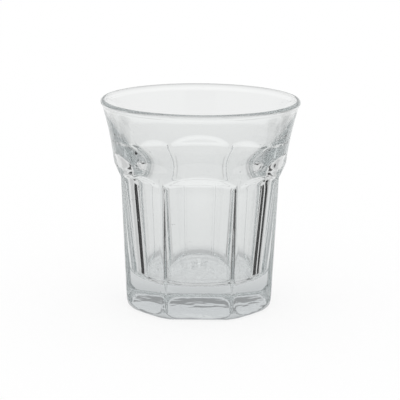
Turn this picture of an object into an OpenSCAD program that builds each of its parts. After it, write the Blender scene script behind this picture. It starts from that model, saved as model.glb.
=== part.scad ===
// Cortado glass: a pressed tumbler of clear glass, one moulded piece.
// A round, flared drinking wall with a beaded lip stands on a thick foot of flat panels.
// The panels end in arches under a sloped ledge, and narrow half-round ribs stand between them.
// The origin is the middle of the underside, +Z is up, and one wide panel faces -Y.

/* [Overall] */
// Height from the table to the top of the lip
glass_h = 76.5; // [72:0.5:88]
// Diameter at the widest point of the lip
rim_d = 73; // [70:0.5:80]

/* [Lip] */
// Thickness of the rounded bead along the lip
lip_t = 2; // [1.6:0.1:3]
// How far the bead stands out from the wall below it
bead_proud = 0.3; // [0.1:0.05:0.5]

/* [Flared wall] */
// How far the round wall stands out over the wide panels at the shoulder
ledge_reach = 3.4; // [3:0.1:4.4]
// How far the outside of the flared wall bows in, halfway up
flare_bow = 0.5; // [0:0.05:0.8]

/* [Panels] */
// Number of pairs of flat panels around the foot, a wide and a narrow one in each
panel_pairs = 4; // [4:1:5]
// Height of the peak of each panel's arch
panel_h = 50.3; // [44:0.1:53]
// Distance across two opposite wide panels at the peak of the arches
panels_top_w = 56.6; // [55:0.1:57.6]
// Distance across two opposite wide panels at the table
panels_foot_w = 52.4; // [50.4:0.1:54]
// Rise of each arch, from the ribs to its peak
arch_rise = 2.4; // [1:0.1:4]
// Squareness of the arch: 2 is an ellipse, higher is flatter with tighter corners
arch_power = 2.5; // [2:0.1:4]
// Slope of the ledge over each arch, in degrees from level
ledge_slope = 42; // [35:1:55]

/* [Ribs] */
// Diameter of the half-round rib along each corner between two panels
rib_d = 2.4; // [2:0.1:2.8]
// Angle at which the side of a rib leaves the wide panel beside it
rib_crease = 40; // [30:1:46]
// How far the crest of a rib stands over the round wall between two arches
rib_show = 0.25; // [0.2:0.05:0.4]
// Turn of each rib away from its wide panel, in degrees past an even spacing
rib_shift = 3.3; // [0:0.1:4]

/* [Foot] */
// Thickness of the solid foot under the drink
foot_t = 11.2; // [8:0.1:15]
// Radius of the rounded bottom edge of each panel
foot_edge_r = 1; // [0.6:0.1:2]
// Height at which the foot starts to turn in under the ribs
foot_round_h = 6.5; // [4:0.5:8]
// Radius of that turn
foot_round_r = 10; // [9:0.5:14]
// Width of the flat ring that the glass rests on, around the dish
rest_w = 4.6; // [3:0.1:8]
// Depth of the dish at its middle
dish_depth = 0.4; // [0.2:0.1:2]

/* [Inside] */
// Thickness of the wall between the wide panels and the floor of the well
floor_wall = 6.6; // [5.4:0.1:8.4]
// Thickness of the wall between the wide panels and the well, at the arches
waist_wall = 3.5; // [2.6:0.1:4.6]
// Thickness of the flared wall at the shoulder, before the well below is eased into it
shoulder_wall = 4.1; // [3:0.1:4.8]
// Height over which the well bends from its lower taper to its mouth
well_bend_h = 18; // [14:0.5:26]
// Radius of the corner between the floor and the wall
floor_corner_r = 3; // [1.5:0.1:7]

/* [Hidden] */

// Fineness of round faces and of curves drawn by a formula
$fn = 120;
arc_steps = 6;
arch_steps = 14;
flare_steps = 8;
well_steps = 16;
// Overshoot of a cut past the face that it opens
over = 1;
// Turn between two wide panels, and from the middle of a wide and of a narrow one to its ribs
pair_turn = 360 / panel_pairs;
wide_turn = pair_turn / 4 + rib_shift;
narrow_turn = pair_turn / 4 - rib_shift;
// How much further from the axis the narrow panels stand, so that they meet the wide ones at the ribs
narrow_scale = cos(narrow_turn) / cos(wide_turn);
// Distance of a wide panel from the axis, at the peak of its arch and at the table
panel_top_r = panels_top_w / 2;
panel_foot_r = panels_foot_w / 2;
// Middle line of a rib at those two heights, and how far it leans out
rib_r = rib_d / 2;
rib_top_r = rib_middle(panel_top_r);
rib_foot_r = rib_middle(panel_foot_r);
rib_lean = atan((rib_top_r - rib_foot_r) / panel_h);
// Room around the ribs in the round shape that trims their feet
clear = 0.1;
// The ledge climbs from the panel to the outside of the round wall, and ends there
shoulder_r = panel_top_r + ledge_reach;
shoulder_h = panel_h + ledge_reach * tan(ledge_slope);
// The round wall between the arches turns out to the shoulder halfway up them
turn_h = panel_h - arch_rise / 2;
// Radius of the dish's rim
dish_r = panel_foot_r - foot_edge_r - rest_w;
// Rise of an arch seen along the ledge
seen_rise = arch_rise * cos(ledge_slope);
// The bead is a full round on the end of the wall, which runs a little way into it
lip_r = lip_t / 2;
lip_h = glass_h - lip_r;
bead_r = rim_d / 2 - lip_r;
wall_lip_r = rim_d / 2 - bead_proud;
mouth_r = rim_d / 2 - lip_t + bead_proud / 4;
// Radius of the well at its floor before the corner is rounded, at the arches and at the shoulder
floor_r = panel_radius(foot_t) - floor_wall;
waist_r = panel_top_r - waist_wall;
brow_r = shoulder_r - shoulder_wall;
// The well starts to bend a little under the arches
bend_h = panel_h - well_bend_h / 4;
// Centre of the rounded corner of the well
well_corner = [well_radius(foot_t + floor_corner_r) - floor_corner_r, foot_t + floor_corner_r];

// Distance of a wide panel from the axis at height z
function panel_radius(z) = panel_foot_r + (panel_top_r - panel_foot_r) * z / panel_h;

// Distance from the axis of the middle of a rib that leaves the wide panel at the set angle
function rib_middle(panel_r) = (panel_r - rib_r * cos(rib_crease)) / cos(wide_turn);

// Distance from the axis of the crest of a rib at height z
function crest_radius(z) = rib_middle(panel_radius(z)) + rib_r;

// Step from 0 to 1 that starts and ends level
function ease(t) = let (s = min(max(t, 0), 1)) s * s * (3 - 2 * s);

// Points of an arc about a centre, from one angle to another
function arc(centre, radius, from, to) =
    [for (i = [0 : arc_steps]) let (a = from + (to - from) * i / arc_steps)
        centre + radius * [cos(a), sin(a)]];

// Lower taper of the well and its taper at the mouth, each a radius at height z
function low_radius(z) = floor_r + (waist_r - floor_r) * (z - foot_t) / (panel_h - foot_t);
function mouth_radius(z) = brow_r + (mouth_r - brow_r) * (z - shoulder_h) / (lip_h - shoulder_h);

// Inner radius of the well at height z: one taper eased into the other behind the shoulder
function well_radius(z) =
    let (t = ease((z - bend_h) / well_bend_h)) low_radius(z) * (1 - t) + mouth_radius(z) * t;

// Outer radius of the flared wall at height z: a straight flare drawn in by the bow
function flare_radius(z) =
    let (t = (z - shoulder_h) / (lip_h - shoulder_h))
        shoulder_r + (wall_lip_r - shoulder_r) * t - flare_bow * 4 * t * (1 - t);

// Underside, from the middle of the dish to its rim
function dish_points() =
    [for (i = [0 : arc_steps]) let (t = i / arc_steps) [dish_r * t, dish_depth * (1 - t * t)]];

// Outside of the flared wall, from the shoulder to the lip
function flare_points() =
    [for (i = [0 : flare_steps]) let (z = shoulder_h + (lip_h - shoulder_h) * i / flare_steps)
        [flare_radius(z), z]];

// Wall of the well, from its rounded corner to the mouth
function well_points() =
    let (start = foot_t + floor_corner_r)
        [for (i = [0 : well_steps]) let (z = start + (lip_h - start) * i / well_steps)
            [well_radius(z), z]];

// Superellipse of an arch of the given half width, from one rib to the next, with its peak at [0, 0]
function arch_points(half_w) =
    [for (i = [0 : arch_steps]) let (a = -90 + 180 * i / arch_steps)
        [
            sign(a) * half_w * pow(abs(sin(a)), 2 / arch_power),
            seen_rise * (pow(cos(a), 2 / arch_power) - 1)
        ]];

// Half of the upright section of the round blank, with its bead and its well
module section() {
    difference() {
        polygon(concat(
            dish_points(),
            [[crest_radius(0) - rib_show, 0], [crest_radius(turn_h) - rib_show, turn_h]],
            flare_points(),
            [[0, lip_h]]
        ));
        polygon(concat(
            [[-over, foot_t]],
            arc(well_corner, floor_corner_r, -90, -15),
            well_points(),
            [[mouth_r, glass_h], [-over, glass_h]]
        ));
    }
    translate([bead_r, lip_h]) circle(lip_r);
}

// Half of the upright section of the round shape that the foot and the ribs are trimmed to
module foot_section() {
    start_r = crest_radius(foot_round_h) + clear;
    start_h = foot_round_h + over;
    low = -asin(foot_round_h / foot_round_r);
    polygon(concat(
        [[0, 0]],
        arc([start_r - foot_round_r, foot_round_h], foot_round_r, low, 0),
        [[start_r, start_h], [rim_d, start_h], [rim_d, glass_h + over], [0, glass_h + over]]
    ));
}

// What one panel takes away, facing +X: all that lies outside its plane and under its arch.
// Its distances from the axis are those of a wide panel times spread, and half_turn reaches to its ribs.
module panel_cut(spread, half_turn) {
    top_r = panel_top_r * spread;
    foot_r = panel_foot_r * spread;
    half_w = top_r * tan(half_turn);
    reach = rim_d / 2 + over;
    side = half_w + over;
    intersection() {
        rotate([90, 0, 0])
            linear_extrude(height = rim_d, center = true)
                polygon(concat(
                    [[foot_r - foot_edge_r, -over]],
                    arc([foot_r - foot_edge_r, foot_edge_r], foot_edge_r, -90, 0),
                    [[top_r, panel_h], [top_r, glass_h], [reach, glass_h], [reach, -over]]
                ));
        translate([top_r, 0, panel_h])
            rotate([0, -ledge_slope, 0])
                rotate([90, 0, 90])
                    linear_extrude(height = 2 * glass_h, center = true)
                        polygon(concat(
                            [[-side, -glass_h], [-side, -seen_rise]],
                            arch_points(half_w),
                            [[side, -seen_rise], [side, -glass_h]]
                        ));
    }
}

// One rib, facing +X: a round rod along the corner, which ends inside the shoulder and under the table
module rib() {
    translate([rib_foot_r, 0, 0])
        rotate([0, rib_lean, 0])
            translate([0, 0, -over])
                cylinder(r = rib_r, h = panel_h + 2 + over);
}

// The whole glass
module tumbler() {
    color([0.84, 0.89, 0.88, 0.45])
        intersection() {
            union() {
                difference() {
                    rotate_extrude() section();
                    for (i = [0 : panel_pairs - 1]) {
                        rotate([0, 0, -90 + i * pair_turn]) panel_cut(1, wide_turn);
                        rotate([0, 0, -90 + (i + 0.5) * pair_turn]) panel_cut(narrow_scale, narrow_turn);
                    }
                }
                for (i = [0 : panel_pairs - 1]) {
                    rotate([0, 0, -90 + i * pair_turn - wide_turn]) rib();
                    rotate([0, 0, -90 + i * pair_turn + wide_turn]) rib();
                }
            }
            rotate_extrude() foot_section();
        }
}

tumbler();
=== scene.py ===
"""Cortado glass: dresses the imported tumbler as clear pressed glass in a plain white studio.

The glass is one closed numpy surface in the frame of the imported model, in millimetres until it is a mesh.
Its outside is a round flared wall into which arched flat panels are pressed, with low ribs between them.
"""

from __future__ import annotations

import logging
import math
from dataclasses import dataclass
from enum import Enum

import bpy
import numpy as np
from mathutils import Matrix

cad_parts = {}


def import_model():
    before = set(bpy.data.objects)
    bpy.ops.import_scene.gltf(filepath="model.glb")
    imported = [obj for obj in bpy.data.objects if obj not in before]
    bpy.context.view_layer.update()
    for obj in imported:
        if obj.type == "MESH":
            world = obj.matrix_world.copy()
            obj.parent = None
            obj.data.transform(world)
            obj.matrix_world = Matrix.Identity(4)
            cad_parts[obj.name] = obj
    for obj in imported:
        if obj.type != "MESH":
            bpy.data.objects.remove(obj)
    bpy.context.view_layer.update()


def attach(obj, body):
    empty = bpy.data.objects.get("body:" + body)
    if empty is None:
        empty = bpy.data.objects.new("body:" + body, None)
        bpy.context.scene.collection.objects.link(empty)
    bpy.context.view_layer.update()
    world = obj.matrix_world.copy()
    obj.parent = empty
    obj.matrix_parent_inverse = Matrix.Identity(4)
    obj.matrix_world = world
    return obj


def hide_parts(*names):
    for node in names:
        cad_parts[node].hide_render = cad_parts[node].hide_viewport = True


LOG = logging.getLogger("cortado_glass")
MM = 0.001
# Bounces that light needs to find its way through the thick foot and the ribs
GLASS_BOUNCES = 32
GLOSSY_BOUNCES = 24
Array = np.ndarray
Rgb = tuple[float, float, float]
Span = tuple[float, float]
Tree = bpy.types.NodeTree
Socket = bpy.types.NodeSocket


def ease(t: Array) -> Array:
    """Returns the step from 0 to 1 that starts and ends level, for t clipped to that range."""
    s = np.clip(t, 0.0, 1.0)
    return s * s * (3.0 - 2.0 * s)


def soft_min(a: Array, b: Array, width: float | Array) -> Array:
    """Lower of two surfaces, with a rounded edge where they cross.

    Args:
        a: First value at each point.
        b: Second value at each point.
        width: Difference of the two values within which the edge is rounded.

    Returns:
        The rounded lower value at each point.
    """
    h = np.clip(0.5 + 0.5 * (b - a) / width, 0.0, 1.0)
    return b * (1.0 - h) + a * h - width * h * (1.0 - h)


def soft_max(a: Array, b: Array, width: float | Array) -> Array:
    """Returns the higher of two surfaces, with a hollow of the given width where they cross."""
    return -soft_min(-a, -b, width)


class Zone(Enum):
    """Stretches of the section, from the middle of the underside round to the middle of the well's floor."""

    DISH = "dish"
    REST = "rest"
    FOOT_EDGE = "foot_edge"
    PANEL = "panel"
    LEDGE = "ledge"
    WALL = "wall"
    NECK = "neck"
    BEAD = "bead"
    WELL = "well"
    CORNER = "corner"
    FLOOR = "floor"


# Steps between the rows of the grid in each stretch of the section
STEPS = {
    Zone.DISH: 7,
    Zone.REST: 5,
    Zone.FOOT_EDGE: 27,
    Zone.PANEL: 33,
    Zone.LEDGE: 14,
    Zone.WALL: 29,
    Zone.NECK: 17,
    Zone.BEAD: 23,
    Zone.WELL: 63,
    Zone.CORNER: 12,
    Zone.FLOOR: 7,
}


class RayKind(Enum):
    """Rays that see the backdrop itself instead of the light it gives."""

    CAMERA = "Is Camera Ray"
    GLOSSY = "Is Glossy Ray"
    TRANSMISSION = "Is Transmission Ray"


@dataclass(frozen=True)
class ClearGlass:
    """Finish of fire-polished soda-lime glass.

    It has a faint, cloudy, cool tint that deepens in the foot and along the path of the light, a moulded
    ripple, a fine grain, a few seeds and an uneven sole. Depths are in millimetres, scales in features to the
    metre and details in octaves of noise. A span gives the heights, in millimetres, at which the foot's tint
    or the sole starts and is full.
    """

    name: str = "clear_glass"
    ior: float = 1.52
    soft_detail: float = 1.0
    fine_detail: float = 2.0
    tint: Rgb = (0.985, 0.992, 0.99)
    deep_tint: Rgb = (0.972, 0.982, 0.979)
    cloud_scale: float = 60.0
    foot_tint: Rgb = (0.72, 0.735, 0.745)
    foot_span: Span = (14.0, 9.0)
    depth_tint: Rgb = (0.6, 0.64, 0.645)
    density: float = 10.0
    ripple_mm: float = 0.004
    ripple_scale: float = 220.0
    grain_mm: float = 0.001
    grain_scale: float = 1600.0
    seed_mm: float = 0.08
    seed_scale: float = 190.0
    seed_share: float = 0.06
    sole_mm: float = 0.25
    sole_scale: float = 130.0
    sole_span: Span = (0.7, 0.45)

    def material(self) -> bpy.types.Material:
        """Builds the node material.

        Returns:
            The finished glass material.
        """
        mat = bpy.data.materials.new(self.name)
        mat.use_nodes = True
        tree = mat.node_tree
        bsdf = tree.nodes["Principled BSDF"]
        bsdf.inputs["Transmission Weight"].default_value = 1.0
        bsdf.inputs["IOR"].default_value = self.ior
        bsdf.inputs["Roughness"].default_value = 0.0
        coords = tree.nodes.new("ShaderNodeTexCoord")
        where = coords.outputs["Object"]
        tree.links.new(self.tinted(tree, where), bsdf.inputs["Base Color"])
        rippled = self.noise(tree, where, self.ripple_scale, self.soft_detail)
        ripple = self.bump(tree, rippled, self.ripple_mm, None)
        grained = self.noise(tree, where, self.grain_scale, self.fine_detail)
        grain = self.bump(tree, grained, self.grain_mm, ripple)
        seeds = self.bump(tree, self.seeds(tree, where), self.seed_mm, grain)
        sole = self.bump(tree, self.sole(tree, where), self.sole_mm, seeds)
        tree.links.new(sole, bsdf.inputs["Normal"])
        depth = tree.nodes.new("ShaderNodeVolumeAbsorption")
        depth.inputs["Color"].default_value = (*self.depth_tint, 1.0)
        depth.inputs["Density"].default_value = self.density
        tree.links.new(depth.outputs["Volume"], tree.nodes["Material Output"].inputs["Volume"])
        return mat

    def tinted(self, tree: Tree, where: Socket) -> Socket:
        """Adds the tint of the surface, a cloudy mix of two tints that turns to a third in the foot.

        Args:
            tree: Node tree to add to.
            where: Socket with the place on the glass, in metres.

        Returns:
            The tint's output socket.
        """
        cloudy = tree.nodes.new("ShaderNodeMix")
        cloudy.data_type = "RGBA"
        cloudy.inputs["A"].default_value = (*self.tint, 1.0)
        cloudy.inputs["B"].default_value = (*self.deep_tint, 1.0)
        cloud = self.noise(tree, where, self.cloud_scale, self.fine_detail)
        tree.links.new(cloud, cloudy.inputs["Factor"])
        footed = tree.nodes.new("ShaderNodeMix")
        footed.data_type = "RGBA"
        footed.inputs["B"].default_value = (*self.foot_tint, 1.0)
        tree.links.new(self.below(tree, where, self.foot_span), footed.inputs["Factor"])
        tree.links.new(cloudy.outputs["Result"], footed.inputs["A"])
        return footed.outputs["Result"]

    def noise(self, tree: Tree, where: Socket, scale: float, detail: float) -> Socket:
        """Adds a noise over the glass.

        Args:
            tree: Node tree to add to.
            where: Socket with the place on the glass, in metres.
            scale: Features to the metre.
            detail: Octaves of finer noise.

        Returns:
            The noise's output socket.
        """
        node = tree.nodes.new("ShaderNodeTexNoise")
        node.inputs["Scale"].default_value = scale
        node.inputs["Detail"].default_value = detail
        tree.links.new(where, node.inputs["Vector"])
        return node.outputs["Fac"]

    def seeds(self, tree: Tree, where: Socket) -> Socket:
        """Adds the seeds, tiny pits where the surface cuts the middle of a cell of a cell pattern.

        Args:
            tree: Node tree to add to.
            where: Socket with the place on the glass, in metres.

        Returns:
            Socket that is 1 at the middle of a seed and 0 away from the seeds.
        """
        cells = tree.nodes.new("ShaderNodeTexVoronoi")
        cells.inputs["Scale"].default_value = self.seed_scale
        tree.links.new(where, cells.inputs["Vector"])
        pit = tree.nodes.new("ShaderNodeMapRange")
        pit.interpolation_type = "SMOOTHSTEP"
        pit.inputs["From Min"].default_value = self.seed_share
        pit.inputs["From Max"].default_value = 0.0
        tree.links.new(cells.outputs["Distance"], pit.inputs["Value"])
        return pit.outputs["Result"]

    def sole(self, tree: Tree, where: Socket) -> Socket:
        """Adds the uneven underside that the press leaves, a broad noise that ends at the foot's edge.

        Args:
            tree: Node tree to add to.
            where: Socket with the place on the glass, in metres.

        Returns:
            Socket with the unevenness, 0 above the underside.
        """
        both = tree.nodes.new("ShaderNodeMath")
        both.operation = "MULTIPLY"
        uneven = self.noise(tree, where, self.sole_scale, self.soft_detail)
        tree.links.new(uneven, both.inputs[0])
        tree.links.new(self.below(tree, where, self.sole_span), both.inputs[1])
        return both.outputs[0]

    def below(self, tree: Tree, where: Socket, span: Span) -> Socket:
        """Adds a mask that comes in towards the underside.

        Args:
            tree: Node tree to add to.
            where: Socket with the place on the glass, in metres.
            span: Height in millimetres at which the mask is still 0, and the one at which it reaches 1.

        Returns:
            The mask's output socket.
        """
        split = tree.nodes.new("ShaderNodeSeparateXYZ")
        tree.links.new(where, split.inputs[0])
        mask = tree.nodes.new("ShaderNodeMapRange")
        mask.interpolation_type = "SMOOTHSTEP"
        mask.inputs["From Min"].default_value = span[0] * MM
        mask.inputs["From Max"].default_value = span[1] * MM
        tree.links.new(split.outputs["Z"], mask.inputs["Value"])
        return mask.outputs["Result"]

    def bump(self, tree: Tree, height: Socket, depth_mm: float, under: Socket | None) -> Socket:
        """Adds a bump of the given depth over the bumps before it.

        Args:
            tree: Node tree to add to.
            height: Socket with the height of the bump, from 0 to 1.
            depth_mm: Height in millimetres at 1.
            under: Normal of the bumps before it, if any.

        Returns:
            The bumped normal's socket.
        """
        node = tree.nodes.new("ShaderNodeBump")
        node.inputs["Distance"].default_value = depth_mm * MM
        tree.links.new(height, node.inputs["Height"])
        if under is not None:
            tree.links.new(under, node.inputs["Normal"])
        return node.outputs["Normal"]


@dataclass(frozen=True)
class Columns:
    """Columns of the grid round the axis, as angles, each with what it needs to know of its panel.

    Theta turns about the axis, phi from the middle of the column's panel, half reaches from there to the rib,
    and spread is the panel's distance from the axis as a multiple of a wide panel's.
    """

    theta: Array
    phi: Array
    half: Array
    spread: Array


@dataclass
class Tumbler:
    """The glass itself, in millimetres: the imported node's sizes, with flatter ribs and fire-polished edges.

    A soft value is the width over which two surfaces are blended at an edge, and a lead is the height over
    which such a blend comes in. The crisp values are the blends that are left where an edge stays sharp. A
    crowd value is the power that draws rows or columns together where the surface turns.
    """

    height: float = 76.5
    rim_d: float = 72.99
    lip_t: float = 2.0
    bead_proud: float = 0.3
    ledge_reach: float = 3.4
    flare_bow: float = 0.5
    panel_pairs: int = 4
    panel_h: float = 50.3
    panels_top_w: float = 56.6
    panels_foot_w: float = 52.4
    arch_rise: float = 2.4
    arch_power: float = 2.5
    ledge_slope: float = 42.0
    rib_d: float = 2.8
    rib_crease: float = 28.0
    rib_show: float = 0.25
    rib_shift: float = 3.3
    foot_t: float = 11.2
    foot_edge: float = 1.0
    foot_round_h: float = 6.5
    foot_round_r: float = 10.0
    rest_w: float = 4.6
    dish_depth: float = 0.4
    floor_wall: float = 6.6
    waist_wall: float = 3.5
    shoulder_wall: float = 4.1
    well_bend_h: float = 18.0
    floor_corner: float = 3.0
    clear: float = 0.1
    foot_soft: float = 0.25
    foot_crisp: float = 0.01
    foot_lead: float = 2.0
    foot_over: float = 0.5
    cove_soft: float = 0.8
    edge_crisp: float = 0.1
    shoulder_soft: float = 1.0
    shoulder_lead: float = 2.0
    least_ledge: float = 0.3
    bead_soft: float = 0.8
    bead_crisp: float = 0.02
    bead_fade: float = 6.0
    neck_h: float = 2.2
    rib_soft: float = 0.35
    crease_share: float = 0.7
    panel_cols: int = 13
    panel_crowd: float = 2.5
    rib_cols: int = 11
    rib_crowd: float = 1.8
    arch_row_crowd: float = 1.6
    brow_row_crowd: float = 1.5

    def __post_init__(self) -> None:
        """Works out the sizes that follow from the fields."""
        even = math.pi / self.panel_pairs / 2
        self.wide_turn = even + math.radians(self.rib_shift)
        self.narrow_turn = even - math.radians(self.rib_shift)
        self.panel_top_r = self.panels_top_w / 2
        self.panel_foot_r = self.panels_foot_w / 2
        self.rib_r = self.rib_d / 2
        self.shoulder_r = self.panel_top_r + self.ledge_reach
        self.climb = math.tan(math.radians(self.ledge_slope))
        self.shoulder_h = self.panel_h + self.ledge_reach * self.climb
        self.lip_r = self.lip_t / 2
        self.lip_h = self.height - self.lip_r
        self.bead_r = self.rim_d / 2 - self.lip_r
        self.wall_lip_r = self.rim_d / 2 - self.bead_proud
        self.mouth_r = self.rim_d / 2 - self.lip_t + self.bead_proud / 4
        self.dish_r = self.panel_foot_r - self.foot_edge - self.rest_w
        self.floor_r = float(self.panel(np.array(self.foot_t))) - self.floor_wall
        self.waist_r = self.panel_top_r - self.waist_wall
        self.brow_r = self.shoulder_r - self.shoulder_wall
        lean = math.atan((self.mouth_r - self.brow_r) / (self.lip_h - self.shoulder_h))
        self.bead_turn = math.pi - lean
        self.bead_end_h = self.lip_h + self.lip_r * math.sin(lean)
        bead_end_r = self.bead_r - self.lip_r * math.cos(lean)
        self.bead_gap = float(self.well(np.array(self.bead_end_h))) - bead_end_r

    def panel(self, z: Array) -> Array:
        """Returns the distance of the wide panels from the axis at height z."""
        return self.panel_foot_r + (self.panel_top_r - self.panel_foot_r) * z / self.panel_h

    def rib_middle(self, z: Array) -> Array:
        """Returns the radius of a rib's middle line, at which it leaves the wide panel at the crease angle."""
        sunk = self.rib_r * math.cos(math.radians(self.rib_crease))
        return (self.panel(z) - sunk) / math.cos(self.wide_turn)

    def drop(self, at: Columns) -> Array:
        """Returns how far the superellipse of the arch has come down in each column."""
        u = np.clip(np.abs(np.tan(at.phi)) / np.tan(at.half), 0.0, 1.0)
        return self.arch_rise * (1.0 - (1.0 - u**self.arch_power) ** (1.0 / self.arch_power))

    def flare(self, z: Array) -> Array:
        """Outer radius of the round wall, a straight flare drawn in by a shallow parabolic bow.

        Args:
            z: Heights.

        Returns:
            The radius at each height, without the bow under the shoulder.
        """
        t = (z - self.shoulder_h) / (self.lip_h - self.shoulder_h)
        bow = self.flare_bow * 4.0 * t * (1.0 - t)
        return self.shoulder_r + (self.wall_lip_r - self.shoulder_r) * t - np.where(t > 0.0, bow, 0.0)

    def blank(self, z: Array) -> Array:
        """Radius of the round blank that the panels are pressed into.

        Args:
            z: Heights.

        Returns:
            A ring just under the ribs' crests up to the arches, a straight run to the shoulder, the flared
            wall above, and the bead on its end, whose round becomes a cone below, where the wall flows in.
        """
        ring_h = self.panel_h - self.arch_rise / 2
        ring = self.rib_middle(np.minimum(z, ring_h)) + self.rib_r - self.rib_show
        t = np.clip((z - ring_h) / (self.shoulder_h - ring_h), 0.0, 1.0)
        low = ring + (self.shoulder_r - ring) * t
        below = self.lip_h - z
        steep = math.sqrt(0.5) * self.lip_r
        rounded = np.sqrt(np.maximum(self.lip_r**2 - below**2, 0.0))
        bead = self.bead_r + np.where(below < steep, rounded, 2.0 * steep - below)
        soft = self.bead_crisp + (self.bead_soft - self.bead_crisp) * ease(below / self.lip_r)
        wall = soft_max(self.flare(z), bead, soft)
        return np.where(z < self.shoulder_h, low, wall)

    def outside(self, at: Columns, z: Array) -> Array:
        """Outer radius of the glass.

        Each panel is a plane under its arch and a sloped ledge over it. It is cut into the round blank, a
        round rod along the corner between two panels stands over both, and a round turn trims the foot.

        Args:
            at: Columns of the grid.
            z: Height in each column.

        Returns:
            The radius in each column.
        """
        turn = np.clip(self.foot_edge - z, 0.0, self.foot_edge)
        plane = self.panel(z) * at.spread - self.foot_edge + np.sqrt(self.foot_edge**2 - turn**2)
        ledge = self.panel_top_r * at.spread + (z - self.panel_h + self.drop(at)) / self.climb
        cut = soft_max(plane, ledge, self.cove_soft) / np.cos(at.phi)
        spring_h = self.panel_h - self.arch_rise
        near_ledge = ease((z - spring_h) / self.shoulder_lead + 0.5)
        edge_soft = self.edge_crisp + (self.shoulder_soft - self.edge_crisp) * near_ledge
        body = soft_min(cut, self.blank(z), edge_soft)
        middle = self.rib_middle(z)
        off = at.half - np.abs(at.phi)
        room = self.rib_r**2 - (middle * np.sin(off)) ** 2
        rod = middle * np.cos(off) + np.sqrt(np.maximum(room, 0.0))
        ribbed = np.where(room > 0.0, soft_max(body, rod, self.rib_soft), body)
        depth = np.clip(self.foot_round_h - z, 0.0, self.foot_round_h)
        inset = self.foot_round_r - np.sqrt(self.foot_round_r**2 - depth**2)
        foot = self.rib_middle(np.full_like(z, self.foot_round_h)) + self.rib_r + self.clear - inset
        foot_edge_soft = self.foot_crisp + self.foot_soft * ease(depth / self.foot_lead)
        return np.where(depth > 0.0, soft_min(ribbed, foot, foot_edge_soft), ribbed)

    def well(self, z: Array) -> Array:
        """Radius of the well, its lower taper eased into the lean of its mouth behind the shoulder.

        Args:
            z: Heights.

        Returns:
            The radius at each height.
        """
        low = self.floor_r + (self.waist_r - self.floor_r) * (z - self.foot_t) / (self.panel_h - self.foot_t)
        rise = (z - self.shoulder_h) / (self.lip_h - self.shoulder_h)
        high = self.brow_r + (self.mouth_r - self.brow_r) * rise
        t = ease((z - self.panel_h + self.well_bend_h / 4) / self.well_bend_h)
        return low * (1.0 - t) + high * t

    def rows(self) -> list[tuple[Zone, Array]]:
        """Lists the zones of the section with the shares of each at which the grid has a row.

        A zone leaves out the end that its neighbour has. Rows crowd towards the arch on the panels, towards
        both edges of the ledge, and towards the shoulder on the wall.

        Returns:
            Zones in order, each with shares from 0 to 1.
        """
        rows = {zone: np.linspace(0.0, 1.0, steps + 1) for zone, steps in STEPS.items()}
        rows[Zone.PANEL] = 1.0 - (1.0 - rows[Zone.PANEL]) ** self.arch_row_crowd
        rows[Zone.LEDGE] = 0.5 - 0.5 * np.cos(np.pi * rows[Zone.LEDGE])
        rows[Zone.WALL] = rows[Zone.WALL] ** self.brow_row_crowd
        for zone, shares in rows.items():
            first = 0 if zone in (Zone.FOOT_EDGE, Zone.WALL) else 1
            last = -1 if zone in (Zone.REST, Zone.LEDGE, Zone.FLOOR) else len(shares)
            rows[zone] = shares[first:last]
        return list(rows.items())

    def ring(self, zone: Zone, share: float, at: Columns) -> tuple[Array, Array]:
        """One row of the section, all the way round.

        Args:
            zone: Stretch of the section.
            share: Place along it, from 0 to 1.
            at: Columns of the grid.

        Returns:
            Radius and height in each column.
        """
        level = np.zeros_like(at.phi)
        if zone is Zone.DISH:
            return level + self.dish_r * share, level + self.dish_depth * (1.0 - share**2)
        if zone is Zone.REST:
            return self.dish_r + (self.outside(at, level) - self.dish_r) * share, level
        if zone in (Zone.FOOT_EDGE, Zone.PANEL, Zone.LEDGE, Zone.WALL, Zone.NECK):
            turned = level + self.foot_round_h + self.foot_over
            cove = self.panel_h - self.drop(at)
            reach = self.shoulder_r * np.cos(at.phi) - self.panel_top_r * at.spread
            brow = cove + np.maximum(reach, self.least_ledge) * self.climb
            neck = level + self.lip_h - self.neck_h
            stops = {
                Zone.FOOT_EDGE: (level, turned),
                Zone.PANEL: (turned, cove),
                Zone.LEDGE: (cove, brow),
                Zone.WALL: (brow, neck),
                Zone.NECK: (neck, level + self.lip_h),
            }
            start, stop = stops[zone]
            z = start + (stop - start) * share
            return self.outside(at, z), z
        if zone is Zone.BEAD:
            turn = self.bead_turn * share
            out, up = self.lip_r * math.cos(turn), self.lip_r * math.sin(turn)
            return level + self.bead_r + out, level + self.lip_h + up
        low = self.foot_t + self.floor_corner
        if zone is Zone.WELL:
            z = level + self.bead_end_h + (low - self.bead_end_h) * share
            fade = ease(1.0 - (self.bead_end_h - z) / self.bead_fade)
            return self.well(z) - self.bead_gap * fade, z
        corner_r = float(self.well(np.array(low))) - self.floor_corner
        if zone is Zone.CORNER:
            turn = share * math.pi / 2
            out, down = self.floor_corner * math.cos(turn), self.floor_corner * math.sin(turn)
            return level + corner_r + out, level + low - down
        return level + corner_r * (1.0 - share), level + self.foot_t

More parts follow.
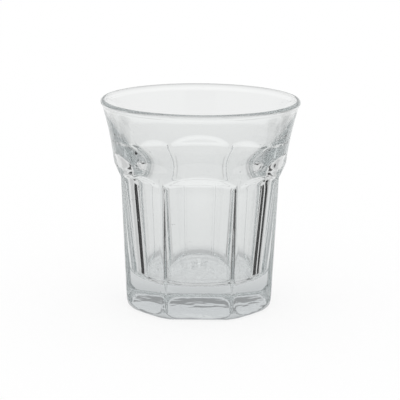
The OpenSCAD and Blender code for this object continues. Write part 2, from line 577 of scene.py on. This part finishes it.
    def panel_columns(self, middle: float, half: float) -> Columns:
        """Columns of one panel, from the crest of the rib before it to just short of the next.

        They crowd towards the creases, which lie where the rod of the rib comes out of the panel's plane.
        The creases' place is taken at one height, well up the panels.

        Args:
            middle: Angle of the panel's middle about the axis.
            half: Turn from there to a rib.

        Returns:
            The panel's columns.
        """
        spread = math.cos(half) / math.cos(self.wide_turn)
        z = np.array(self.panel_h * self.crease_share)
        bite = math.acos(spread * math.cos(math.radians(self.rib_crease)))
        across = float(self.rib_middle(z)) * math.sin(half) - self.rib_r * math.sin(bite)
        crease = math.atan2(across, float(self.panel(z)) * spread)
        flat = 1.0 - (1.0 - np.linspace(0.0, 1.0, self.panel_cols + 1)) ** self.panel_crowd
        rounded = np.linspace(0.0, 1.0, self.rib_cols + 1)[1:] ** self.rib_crowd
        side = np.concatenate([flat * crease, crease + rounded * (half - crease)])
        phi = np.concatenate([-side[:0:-1], side[:-1]])
        return Columns(middle + phi, phi, np.full_like(phi, half), np.full_like(phi, spread))

    def columns(self) -> Columns:
        """Lists the columns all the way round, a wide and a narrow panel in turn, from the one that faces -Y.

        Returns:
            The columns in order of their angle.
        """
        turn = math.pi / self.panel_pairs
        halves = (self.wide_turn, self.narrow_turn) * self.panel_pairs
        runs = [self.panel_columns(-math.pi / 2 + i * turn, half) for i, half in enumerate(halves)]
        return Columns(
            np.concatenate([run.theta for run in runs]),
            np.concatenate([run.phi for run in runs]),
            np.concatenate([run.half for run in runs]),
            np.concatenate([run.spread for run in runs]),
        )

    def surface(self) -> tuple[Array, Array, Array]:
        """Lays the closed surface of the glass on a grid of section rows by columns round the axis.

        Each row is a ring of radius and height by angle, and the rows follow the arches.

        Returns:
            Vertices in millimetres, quads, and the triangles that close the two poles.
        """
        at = self.columns()
        rings = [self.ring(zone, float(share), at) for zone, shares in self.rows() for share in shares]
        radius = np.array([r for r, _ in rings])
        z = np.array([h for _, h in rings])
        grid = np.stack([radius * np.cos(at.theta), radius * np.sin(at.theta), z], axis=-1)
        rows, cols = radius.shape
        index = np.arange(rows * cols).reshape(rows, cols)
        after = np.roll(index, -1, axis=1)
        quads = np.stack([index[:-1], after[:-1], after[1:], index[1:]], axis=-1).reshape(-1, 4)
        under, floor = rows * cols, rows * cols + 1
        poles = np.array([[0.0, 0.0, self.dish_depth], [0.0, 0.0, self.foot_t]])
        points = np.vstack([grid.reshape(-1, 3), poles])
        fan_under = np.stack([np.full(cols, under), after[0], index[0]], axis=-1)
        fan_floor = np.stack([np.full(cols, floor), index[-1], after[-1]], axis=-1)
        return points, quads, np.vstack([fan_under, fan_floor])

    def build(self, finish: ClearGlass) -> bpy.types.Object:
        """Makes the mesh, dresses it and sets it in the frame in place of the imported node.

        Args:
            finish: The glass's finish.

        Returns:
            The finished object.
        """
        points, quads, tris = self.surface()
        mesh = bpy.data.meshes.new("tumbler_glass")
        mesh.from_pydata((points * MM).tolist(), [], quads.tolist() + tris.tolist())
        mesh.polygons.foreach_set("use_smooth", np.ones(len(mesh.polygons), dtype=bool))
        mesh.update()
        mesh.materials.append(finish.material())
        piece = bpy.data.objects.new("tumbler_glass", mesh)
        bpy.context.scene.collection.objects.link(piece)
        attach(piece, "root")
        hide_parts("tumbler")
        return piece


@dataclass(frozen=True)
class Card:
    """A soft-edged light card or dark flag round the glass, in degrees.

    Azimuth 0 is behind the glass and 90 on its right. The level is the card's brightness, where 1 is white.
    """

    name: str
    azimuth: float
    elevation: float
    half_w: float
    half_h: float
    soft: float
    level: float


@dataclass
class Studio:
    """Plain floor, white surroundings for light, and the cards and flags that clear glass is photographed in.

    The floor's size and gap are in metres. A later card covers an earlier one.
    """

    floor_size: float = 4.0
    floor_gap: float = 0.0002
    floor_grey: float = 0.18
    floor_roughness: float = 0.9
    room_level: float = 0.74
    # Azimuth, elevation, half the width, half the height, softness and level of each card
    cards: tuple[Card, ...] = (
        Card("ceiling", 0.0, 80.0, 181.0, 18.0, 8.0, 1.0),
        Card("front_window", 180.0, 50.0, 85.0, 17.0, 10.0, 1.0),
        Card("front_table", 180.0, -40.0, 85.0, 20.0, 20.0, 0.78),
        Card("backdrop", 0.0, -33.0, 48.0, 40.0, 6.0, 0.8),
        Card("near_table", 0.0, -58.0, 30.0, 20.0, 10.0, 0.6),
        Card("far_wall", 0.0, -9.0, 42.0, 9.0, 5.0, 0.9),
        Card("bright_band", 0.0, 0.0, 42.0, 5.0, 8.0, 0.95),
        Card("valance", 0.0, 12.5, 60.0, 3.5, 2.0, 0.48),
        Card("high_window", 0.0, 23.0, 60.0, 6.5, 3.0, 1.0),
        Card("left_card", -72.0, -7.0, 24.0, 8.0, 6.0, 0.8),
        Card("right_card", 78.0, 0.0, 30.0, 14.0, 6.0, 0.72),
        Card("left_wing", -45.0, -26.0, 9.0, 11.0, 5.0, 0.6),
        Card("left_low_wing", -37.0, -31.0, 9.0, 5.5, 4.0, 0.62),
        Card("right_wing", 45.0, -26.0, 9.0, 11.0, 5.0, 0.55),
        Card("right_low_wing", 37.0, -31.0, 9.0, 5.5, 4.0, 0.58),
        Card("left_flag", -68.0, -26.5, 9.5, 5.5, 2.0, 0.0),
        Card("right_flag", 51.5, -27.0, 7.0, 6.0, 2.0, 0.0),
        Card("far_right_flag", 74.5, -27.0, 10.0, 6.0, 2.0, 0.0),
        Card("left_gap", -51.0, -50.5, 7.0, 8.5, 3.0, 0.03),
        Card("right_gap", 50.0, -50.5, 7.5, 8.5, 3.0, 0.03),
        Card("camera_side", 180.0, 12.0, 20.0, 10.0, 6.0, 0.45),
    )

    def seen(self, tree: Tree) -> Socket:
        """Adds the switch that is 1 for rays that see the backdrop through or in the glass.

        Args:
            tree: Node tree to add to.

        Returns:
            The switch's output socket.
        """
        path = tree.nodes.new("ShaderNodeLightPath")
        add = tree.nodes.new("ShaderNodeMath")
        add.operation = "ADD"
        add.use_clamp = True
        tree.links.new(path.outputs[RayKind.GLOSSY.value], add.inputs[0])
        tree.links.new(path.outputs[RayKind.TRANSMISSION.value], add.inputs[1])
        return add.outputs[0]

    def math_node(self, tree: Tree, kind: str, a: float | Socket, b: float | Socket) -> Socket:
        """Adds one Math node.

        Args:
            tree: Node tree to add to.
            kind: The node's operation.
            a: First operand, a number or a socket.
            b: Second operand, a number or a socket.

        Returns:
            The node's output socket.
        """
        node = tree.nodes.new("ShaderNodeMath")
        node.operation = kind
        for socket, value in zip(node.inputs, (a, b)):
            if isinstance(value, Socket):
                tree.links.new(value, socket)
            else:
                socket.default_value = value
        return node.outputs[0]

    def edge(self, tree: Tree, away: Socket, half: float, soft: float) -> Socket:
        """Adds a soft edge: 1 nearer than half, fading to 0 over the soft width.

        Args:
            tree: Node tree to add to.
            away: Socket with the distance from the card's middle.
            half: Half the card's size.
            soft: Width of the fade.

        Returns:
            The mask's output socket.
        """
        node = tree.nodes.new("ShaderNodeMapRange")
        node.interpolation_type = "SMOOTHSTEP"
        node.inputs["From Min"].default_value = half + soft / 2
        node.inputs["From Max"].default_value = half - soft / 2
        tree.links.new(away, node.inputs["Value"])
        return node.outputs["Result"]

    def world(self) -> None:
        """Makes the world: even white light, and the cards for the rays that see them in the glass."""
        world = bpy.data.worlds.new("studio")
        bpy.context.scene.world = world
        world.use_nodes = True
        tree = world.node_tree
        coords = tree.nodes.new("ShaderNodeTexCoord")
        split = tree.nodes.new("ShaderNodeSeparateXYZ")
        tree.links.new(coords.outputs["Generated"], split.inputs[0])
        x, y, z = split.outputs
        degrees = 180.0 / math.pi
        azimuth = self.math_node(tree, "MULTIPLY", self.math_node(tree, "ARCTAN2", x, y), degrees)
        elevation = self.math_node(tree, "MULTIPLY", self.math_node(tree, "ARCSINE", z, 0.0), degrees)
        level: float | Socket = self.room_level
        for card in self.cards:
            across = self.math_node(tree, "SUBTRACT", azimuth, card.azimuth)
            across = self.math_node(tree, "PINGPONG", across, 180.0)
            up = self.math_node(tree, "SUBTRACT", elevation, card.elevation)
            up = self.math_node(tree, "ABSOLUTE", up, 0.0)
            side = self.edge(tree, across, card.half_w, card.soft)
            brim = self.edge(tree, up, card.half_h, card.soft)
            mask = self.math_node(tree, "MULTIPLY", side, brim)
            mask.node.label = card.name
            step = self.math_node(tree, "SUBTRACT", card.level, level)
            level = self.math_node(tree, "ADD", level, self.math_node(tree, "MULTIPLY", mask, step))
        seen = self.seen(tree)
        less = self.math_node(tree, "SUBTRACT", level, 1.0)
        strength = self.math_node(tree, "ADD", 1.0, self.math_node(tree, "MULTIPLY", seen, less))
        tree.links.new(strength, tree.nodes["Background"].inputs["Strength"])
        tree.nodes["Background"].inputs["Color"].default_value = (1.0, 1.0, 1.0, 1.0)

    def floor(self) -> bpy.types.Object:
        """Makes the floor, which the camera sees as white, with the glass's soft shadow on it.

        Returns:
            The floor object.
        """
        half = self.floor_size / 2
        mesh = bpy.data.meshes.new("floor")
        corners = [(-half, -half, 0.0), (half, -half, 0.0), (half, half, 0.0), (-half, half, 0.0)]
        mesh.from_pydata(corners, [], [(0, 1, 2, 3)])
        mat = bpy.data.materials.new("pale_floor")
        mat.use_nodes = True
        tree = mat.node_tree
        bsdf = tree.nodes["Principled BSDF"]
        bsdf.inputs["Base Color"].default_value = (self.floor_grey, self.floor_grey, self.floor_grey, 1.0)
        bsdf.inputs["Roughness"].default_value = self.floor_roughness
        bsdf.inputs["Specular IOR Level"].default_value = 0.0
        path = tree.nodes.new("ShaderNodeLightPath")
        lift = self.math_node(tree, "MULTIPLY", path.outputs[RayKind.CAMERA.value], 1.0 - self.floor_grey)
        bsdf.inputs["Emission Color"].default_value = (1.0, 1.0, 1.0, 1.0)
        tree.links.new(lift, bsdf.inputs["Emission Strength"])
        mesh.materials.append(mat)
        floor = bpy.data.objects.new("floor", mesh)
        floor.location.z = -self.floor_gap
        floor.visible_transmission = False
        floor.visible_glossy = False
        bpy.context.scene.collection.objects.link(floor)
        return floor

    def build(self) -> None:
        """Sets up the world and the floor."""
        self.world()
        self.floor()


@dataclass
class PhotoCamera:
    """Camera at the photograph's view, in millimetres, pixels of the picture and degrees of roll."""

    distance: float = 511.0
    height: float = 161.1
    aim_height: float = 38.25
    focal_px: float = 1416.0
    centre_px: tuple[float, float] = (199.7, 200.1)
    roll: float = 0.5
    frame_px: int = 400
    sensor: float = 36.0
    nearest: float = 10.0

    def build(self) -> bpy.types.Object:
        """Makes the camera and gives it to the scene.

        Returns:
            The camera object.
        """
        data = bpy.data.cameras.new("photo_camera")
        data.sensor_width = self.sensor
        data.lens = self.focal_px * self.sensor / self.frame_px
        data.shift_x = -(self.centre_px[0] - self.frame_px / 2) / self.frame_px
        data.shift_y = (self.centre_px[1] - self.frame_px / 2) / self.frame_px
        data.clip_start = self.nearest * MM
        camera = bpy.data.objects.new("photo_camera", data)
        pitch = math.atan2(self.height - self.aim_height, self.distance)
        place = Matrix.Translation((0.0, -self.distance * MM, self.height * MM))
        tilt = Matrix.Rotation(math.pi / 2 - pitch, 4, "X")
        camera.matrix_world = place @ tilt @ Matrix.Rotation(math.radians(self.roll), 4, "Z")
        bpy.context.scene.collection.objects.link(camera)
        bpy.context.scene.camera = camera
        return camera


def main() -> None:
    """Builds the scene: the glass, the studio and the camera."""
    logging.basicConfig(level=logging.INFO, format="%(name)s: %(message)s")
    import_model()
    scene = bpy.context.scene
    scene.view_settings.view_transform = "Standard"
    scene.cycles.max_bounces = GLASS_BOUNCES
    scene.cycles.transmission_bounces = GLASS_BOUNCES
    scene.cycles.glossy_bounces = GLOSSY_BOUNCES
    glass = Tumbler().build(ClearGlass())
    LOG.info("%s: %d faces", glass.name, len(glass.data.polygons))
    Studio().build()
    LOG.info("studio: floor and world")
    camera = PhotoCamera().build()
    LOG.info("%s: lens %.1f mm", camera.name, camera.data.lens)


if __name__ == "__main__":
    main()
